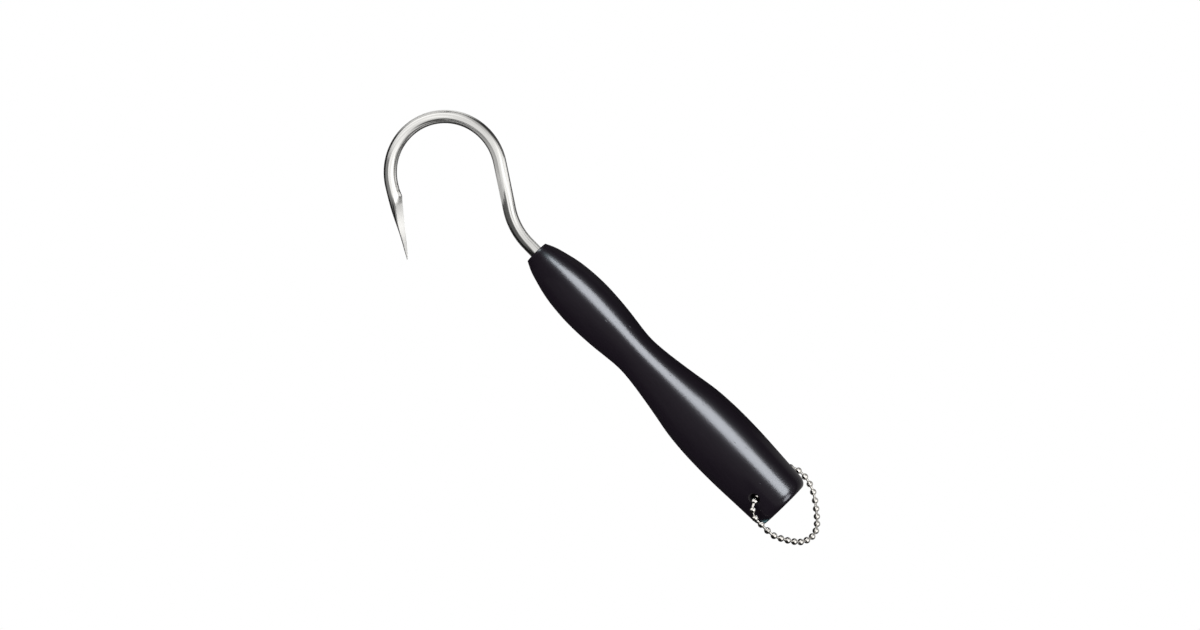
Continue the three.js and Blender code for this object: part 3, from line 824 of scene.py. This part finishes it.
# The balls swivel freely, so each seam faces its own way
spin = add_node(beads, "FunctionNodeRandomValue", {"Seed": entry["Seed"]})
turns = add_node(beads, "ShaderNodeMath", {0: spin.outputs[1], 1: 2 * math.pi}, operation="MULTIPLY")
spun_by = add_node(beads, "ShaderNodeCombineXYZ", {"Z": turns})
spun = add_node(beads, "FunctionNodeRotateRotation", {
    "Rotation": aligned, "Rotate By": spun_by,
}, rotation_space="LOCAL")
strung_balls = add_node(beads, "GeometryNodeInstanceOnPoints", {
    "Points": entry["Geometry"], "Selection": is_ball, "Instance": ball, "Rotation": spun,
})
pin_scale = add_node(beads, "ShaderNodeCombineXYZ", {"X": 1, "Y": 1, "Z": pin_length})
strung_pins = add_node(beads, "GeometryNodeInstanceOnPoints", {
    "Points": entry["Geometry"], "Selection": is_pin,
    "Instance": pin.outputs["Mesh"], "Rotation": aligned, "Scale": pin_scale,
})
strung = add_node(beads, "GeometryNodeJoinGeometry")
beads.links.new(strung_balls.outputs[0], strung.inputs[0])
beads.links.new(strung_pins.outputs[0], strung.inputs[0])
real = add_node(beads, "GeometryNodeRealizeInstances", {"Geometry": strung})
plated = add_node(beads, "GeometryNodeSetMaterial", {"Geometry": real, "Material": entry["Finish"]})
add_node(beads, "NodeGroupOutput", {"Geometry": plated})
print("the whole tree has", len(beads.nodes), "nodes")

# %% String each length of chain
CHAIN_SIZES = {
    "Ball Radius": BALL_RADIUS, "Pole Height": 1.08 * MM, "Hole Radius": 0.52 * MM,
    "Hole Depth": 0.3 * MM, "Pin Radius": 0.45 * MM, "Finish": nickel, "Seed": 7,
}


def string_chain(body, nodes):
    """Makes one mesh of the balls and pins among a body's nodes."""
    ball_numbers = [int(name[-2:]) for name in nodes if name.startswith("chain_ball")]
    own_pins = [pins[n] for n in pins if body_of_pin(n) == body]
    places = [balls[n] for n in ball_numbers] + [(a + b) / 2 for a, b in own_pins]
    directions = [ball_direction(n) for n in ball_numbers] + [(b - a).normalized() for a, b in own_pins]
    lengths = [0.0] * len(ball_numbers) + [(b - a).length for a, b in own_pins]
    points = mesh_object(f"{body}_points", places)
    set_attribute(points, "direction", "FLOAT_VECTOR", [value for vector in directions for value in vector])
    set_attribute(points, "pin_length", "FLOAT", lengths)
    set_attribute(points, "is_pin", "BOOLEAN", [length > 0 for length in lengths])
    made = made_by_tree(points, beads, CHAIN_SIZES, f"{body}_beads")
    smooth(made, crease=40)
    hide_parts(*[name for name in nodes if name != "chain_clasp"])
    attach(made, body)
    return made


for body, nodes in bodies.items():
    if body != "gaff":
        made = string_chain(body, nodes)
        print(made.name, len(made.data.polygons), "faces")

# %% [markdown]
# ## The clasp
# The clasp that joins the chain's ends hides in the cross hole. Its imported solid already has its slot
# and its end walls, so it keeps its shape and only gets the finish of plain rolled spring sheet.

# %% Spring sheet
def rolled_spring_sheet():
    material, tree, shader, place = new_material("rolled_spring_sheet")
    stretched = add_node(tree, "ShaderNodeMapping", {
        "Vector": place, "Scale": (1 / (0.15 * MM), 1 / (2 * MM), 1 / (4 * MM)),
    })
    rolled = add_node(tree, "ShaderNodeTexNoise", {"Vector": stretched, "Scale": 1, "Detail": 3})
    tone = add_node(tree, "ShaderNodeMix", {
        "Factor": rolled, 6: linear("#a9a69f"), 7: linear("#c9c6c0"),
    }, data_type="RGBA")
    rough = add_node(tree, "ShaderNodeMapRange", {
        "Value": rolled, "From Min": 0.3, "From Max": 0.7, "To Min": 0.25, "To Max": 0.4,
    })
    set_inputs(shader, {"Base Color": tone.outputs[2], "Metallic": 1, "Roughness": rough})
    return material


clasp = frame["nodes"]["chain_clasp"]
clasp.data.materials.clear()
clasp.data.materials.append(rolled_spring_sheet())
print("clasp finished with", clasp.data.materials[0].name)

# %% [markdown]
# ## The ground
# The photograph has a pure white ground. White all round would also fill the mirror of the steel and
# wash out its edges, so there are two grounds. One is white and only the camera sees it. The other is
# at the height of the table and only the gaff sees it: dark cloth with a few white cards, as a
# photographer of silver lays them out. The white one lies lower, so that the chain isn't hidden when it
# swings below the table's height.

# %% The white ground
GROUND_SIZE = 3.0
GROUND_DEPTH = 60 * MM


def level_ground(name, height, material):
    """A large square that faces up, and isn't part of the object."""
    corners = [(x * GROUND_SIZE, y * GROUND_SIZE, height) for x, y in ((-1, -1), (1, -1), (1, 1), (-1, 1))]
    ground_plane = mesh_object(name, corners, [(0, 1, 2, 3)])
    ground_plane.data.materials.append(material)
    ground_plane.visible_shadow = False
    return ground_plane


def shining(name, strength):
    """A surface that shines evenly white. strength is a number, or a function that makes its nodes."""
    material, tree, *_ = new_material(name)
    tree.nodes.clear()
    value = strength(tree) if callable(strength) else strength
    glow = add_node(tree, "ShaderNodeEmission", {"Strength": value})
    add_node(tree, "ShaderNodeOutputMaterial", {"Surface": glow})
    return material


white_ground = level_ground("white_ground", -GROUND_DEPTH, shining("white_ground", 1.0))
white_ground.visible_diffuse = white_ground.visible_glossy = False
print("white ground", GROUND_DEPTH / MM, "mm below the table's height")

# %% Dark cloth with white cards
CLOTH_GLOW = 0.03
# Each card's middle in the gaff's own frame, how far it is full and how far it fades, in mm; its strength
CARDS = (
    (22, 8, 12, 26, 0.65),
    (88, -26, 22, 40, 0.9),
    (0, -60, 10, 60, 0.3),
    (-150, -50, 30, 55, 0.6),
)


def card_glow(tree):
    """How brightly each point of the cloth shines: the cloth's own glow and the cards' added up."""
    place = add_node(tree, "ShaderNodeTexCoord").outputs["Object"]
    glow = CLOTH_GLOW
    for x, y, inner, outer, strength in CARDS:
        middle = lying @ Vector((x * MM, y * MM, 0))
        middle.z = 0
        away = add_node(tree, "ShaderNodeVectorMath", {0: place, 1: middle}, operation="DISTANCE")
        card = add_node(tree, "ShaderNodeMapRange", {
            "Value": away.outputs["Value"], "From Min": inner * MM, "From Max": outer * MM,
            "To Min": strength, "To Max": 0,
        }, interpolation_type="SMOOTHSTEP")
        glow = add_node(tree, "ShaderNodeMath", {0: card, 1: glow}, operation="ADD")
    return glow


card_table = level_ground("card_table", 0, shining("cards_on_dark_cloth", card_glow))
card_table.visible_camera = False
print(len(CARDS), "cards on the cloth")

# %% [markdown]
# ## The lamps
# One long soft light over the gaff's upper right side makes the long highlight on the lacquer. A weak
# fill from the other side keeps the black from going flat. Four lights are small and close. One carries
# the highlight on over the butt's rim, which turns away from the long light. One lets it start dim and
# bluish at the front, and one gives the corner of the butt its glint. The last is a white card low
# beside the neck, for the bright edge of the rod there. Light linking gives each lamp to its own piece,
# because bare metal would mirror the long light as a burnt white stripe.

# %% The long light and the fill
LAMP_DISTANCE = 0.9


def lit_alone(name, piece):
    """A collection of one piece, for the lamps that light nothing else."""
    collection = bpy.data.collections.new(name)
    collection.objects.link(piece)
    return collection


def towards(azimuth, tilt):
    """The direction at that azimuth and so far down from straight up, both in degrees."""
    azimuth, tilt = math.radians(azimuth), math.radians(tilt)
    return Vector((math.sin(tilt) * math.cos(azimuth), math.sin(tilt) * math.sin(azimuth), math.cos(tilt)))


def soft_box(name, azimuth, tilt, distance, size, aim, radiance, colour, lit):
    """An oval light that faces the point aim from that direction, its long side level."""
    data = bpy.data.lights.new(name, "AREA")
    data.shape = "ELLIPSE"
    data.size, data.size_y = size
    # The power is pi times the radiance times the oval's area
    data.energy = math.pi * radiance * math.pi / 4 * size[0] * size[1]
    data.color = linear(colour)[:3]
    lamp = new_object(name, data)
    away = towards(azimuth, tilt)
    level = Vector((0, 0, 1)).cross(away).normalized()
    turned_to = Matrix((level, away.cross(level), away)).transposed().to_4x4()
    lamp.matrix_world = Matrix.Translation(aim + away * distance) @ turned_to
    lamp.light_linking.receiver_collection = lit
    return lamp


lacquer_only, steel_only = lit_alone("lit_as_lacquer", handle), lit_alone("lit_as_steel", hook)
long_box = soft_box("long_soft_box", -90, 37, LAMP_DISTANCE, (1.27, 0.56),
                    Vector((0.1, front.y, front.z)), 95, "#eff5fb", lacquer_only)
fill_box = soft_box("fill_box", 90, 62, LAMP_DISTANCE, (1.4, 0.5),
                    Vector((0, front.y, front.z)), 2.2, "#ffffff", lacquer_only)
# The lacquer mirrors the long box, but its dark dye is lit by the dim studio and the fill
long_box.visible_diffuse = fill_box.visible_glossy = False
print("two large lights,", LAMP_DISTANCE, "m away")

# %% The small lights
# Azimuth and tilt in degrees; distance, size and aim in mm, the aim in the gaff's own frame; radiance
SMALL_LIGHTS = {
    "end_lamp": (-143, 58, 22, (12, 12), (-125, 0, 9), 45, "#eff5fb", lacquer_only),
    "front_lamp": (-42, 54, 70, (37, 37), (-5, 0, 6), 17, "#b8d4db", lacquer_only),
    "corner_glint": (140, 128, 11, (10, 5), (-126, 9, 7), 6, "#8fc9d2", lacquer_only),
    "neck_card": (-90, 88, 30, (34, 20), (7, -2, 0), 0.75, "#ffffff", steel_only),
}
for name, (azimuth, tilt, distance, size, aim, radiance, colour, lit) in SMALL_LIGHTS.items():
    lamp = soft_box(name, azimuth, tilt, distance * MM, (size[0] * MM, size[1] * MM),
                    lying @ (Vector(aim) * MM), radiance, colour, lit)
    lamp.visible_camera = lamp.visible_diffuse = False
print("small lights:", list(SMALL_LIGHTS))

# %% [markdown]
# ## Flags
# Round polished metal shows a dark edge only where it mirrors something dark. Photographers stand black
# cards, called flags, just outside the picture. Here they stand beside the neck, the claw and the chain.
# Only mirrors see them, so they throw no shadow. At the neck and the claw a taller flag stands behind the
# low black one. It is painted in shades, dark below and light above, so that the black edge of the rod
# runs out softly into its bright middle.

# %% Flags beside the metal
def flag(name, feet, heights, inward, paper):
    """A card between two feet, with a height at each. Its top leans inward over the metal. All in mm."""
    feet = [lying @ Vector((x * MM, y * MM, 0)) for x, y in feet]
    lean = lying.to_3x3() @ Vector((*inward, 0)) * MM
    corners = [(foot.x, foot.y, 0) for foot in feet]
    corners += [(foot.x + lean.x, foot.y + lean.y, height * MM)
                for foot, height in zip(feet[::-1], heights[::-1])]
    card = mesh_object(name, corners, [(0, 1, 2, 3)])
    card.data.materials.append(paper)
    card.visible_camera = card.visible_diffuse = card.visible_shadow = False


def shaded(low, high, dark, light):
    """The glow of a card painted in shades, from dark at the height low to light at high, in mm."""
    def glow(tree):
        place = add_node(tree, "ShaderNodeTexCoord").outputs["Object"]
        height = add_node(tree, "ShaderNodeSeparateXYZ", {"Vector": place}).outputs[2]
        return add_node(tree, "ShaderNodeMapRange", {
            "Value": height, "From Min": low * MM, "From Max": high * MM, "To Min": dark, "To Max": light,
        }, interpolation_type="SMOOTHSTEP")
    return glow


# Matt black card, which polished metal mirrors as plain dark
black_paper, _, shader, _ = new_material("black_paper")
set_inputs(shader, {"Base Color": linear("#101010"), "Roughness": 1})
neck_paper = shining("neck_paper", shaded(8, 44, 0.05, 0.7))
claw_paper = shining("claw_paper", shaded(-3, 33, 0.1, 0.85))
flag("neck_flag", [(-4, 8), (24, 4)], (16, 7), (2, -1), black_paper)
flag("neck_back_flag", [(-6, 16), (24, 12)], (54, 22), (3, -14), neck_paper)
flag("claw_flag", [(69, 21), (30, 47)], (2.5, 4.5), (-1, -2), black_paper)
flag("claw_back_flag", [(74, 26), (33, 53)], (22, 36), (-4, -6), claw_paper)
flag("chain_flag", [(-112, 24), (-165, 24)], (54, 54), (0, -9), black_paper)

# %% [markdown]
# ## The studio
# The world is what the gaff mirrors above the table: a dim room with a few round soft windows. Each
# window is worked out from its direction, so no picture is needed. The camera sees plain white instead.

# %% The studio round it
world = bpy.data.worlds.new("dim_studio")
bpy.context.scene.world = world
world.use_nodes = True
sky = world.node_tree
sky.nodes.clear()
look = add_node(sky, "ShaderNodeTexCoord").outputs["Generated"]


def soft_window(azimuth, tilt, inner, outer, strength):
    """A round patch of light in the world, full inside the inner angle and gone outside the outer one."""
    facing = add_node(sky, "ShaderNodeVectorMath", {
        0: look, 1: towards(azimuth, tilt),
    }, operation="DOT_PRODUCT")
    return add_node(sky, "ShaderNodeMapRange", {
        "Value": facing.outputs["Value"], "To Max": strength,
        "From Min": math.cos(math.radians(outer)), "From Max": math.cos(math.radians(inner)),
    }, interpolation_type="SMOOTHSTEP")


STUDIO_BASE = 0.03
# Azimuth, tilt, inner and outer angle in degrees, and strength
WINDOWS = (
    (-110, 12, 15, 70, 0.92),
    (-142, 60, 15, 50, 0.78),
    (-12, 75, 20, 55, 1.0),
    (168, 32, 10, 44, 0.42),
    (45, 58, 12, 48, 0.5),
)
glow = STUDIO_BASE
for window in WINDOWS:
    glow = add_node(sky, "ShaderNodeMath", {0: soft_window(*window), 1: glow}, operation="ADD")
dim = add_node(sky, "ShaderNodeBackground", {"Color": (1, 1, 1, 1), "Strength": glow})
pale = add_node(sky, "ShaderNodeBackground", {"Color": linear("#fdfdfd"), "Strength": 1})
seen = add_node(sky, "ShaderNodeLightPath").outputs["Is Camera Ray"]
studio = add_node(sky, "ShaderNodeMixShader", {0: seen, 1: dim, 2: pale})
add_node(sky, "ShaderNodeOutputWorld", {"Surface": studio})
bpy.context.scene.view_settings.view_transform = "Standard"
print("the dim studio has", len(WINDOWS), "windows")
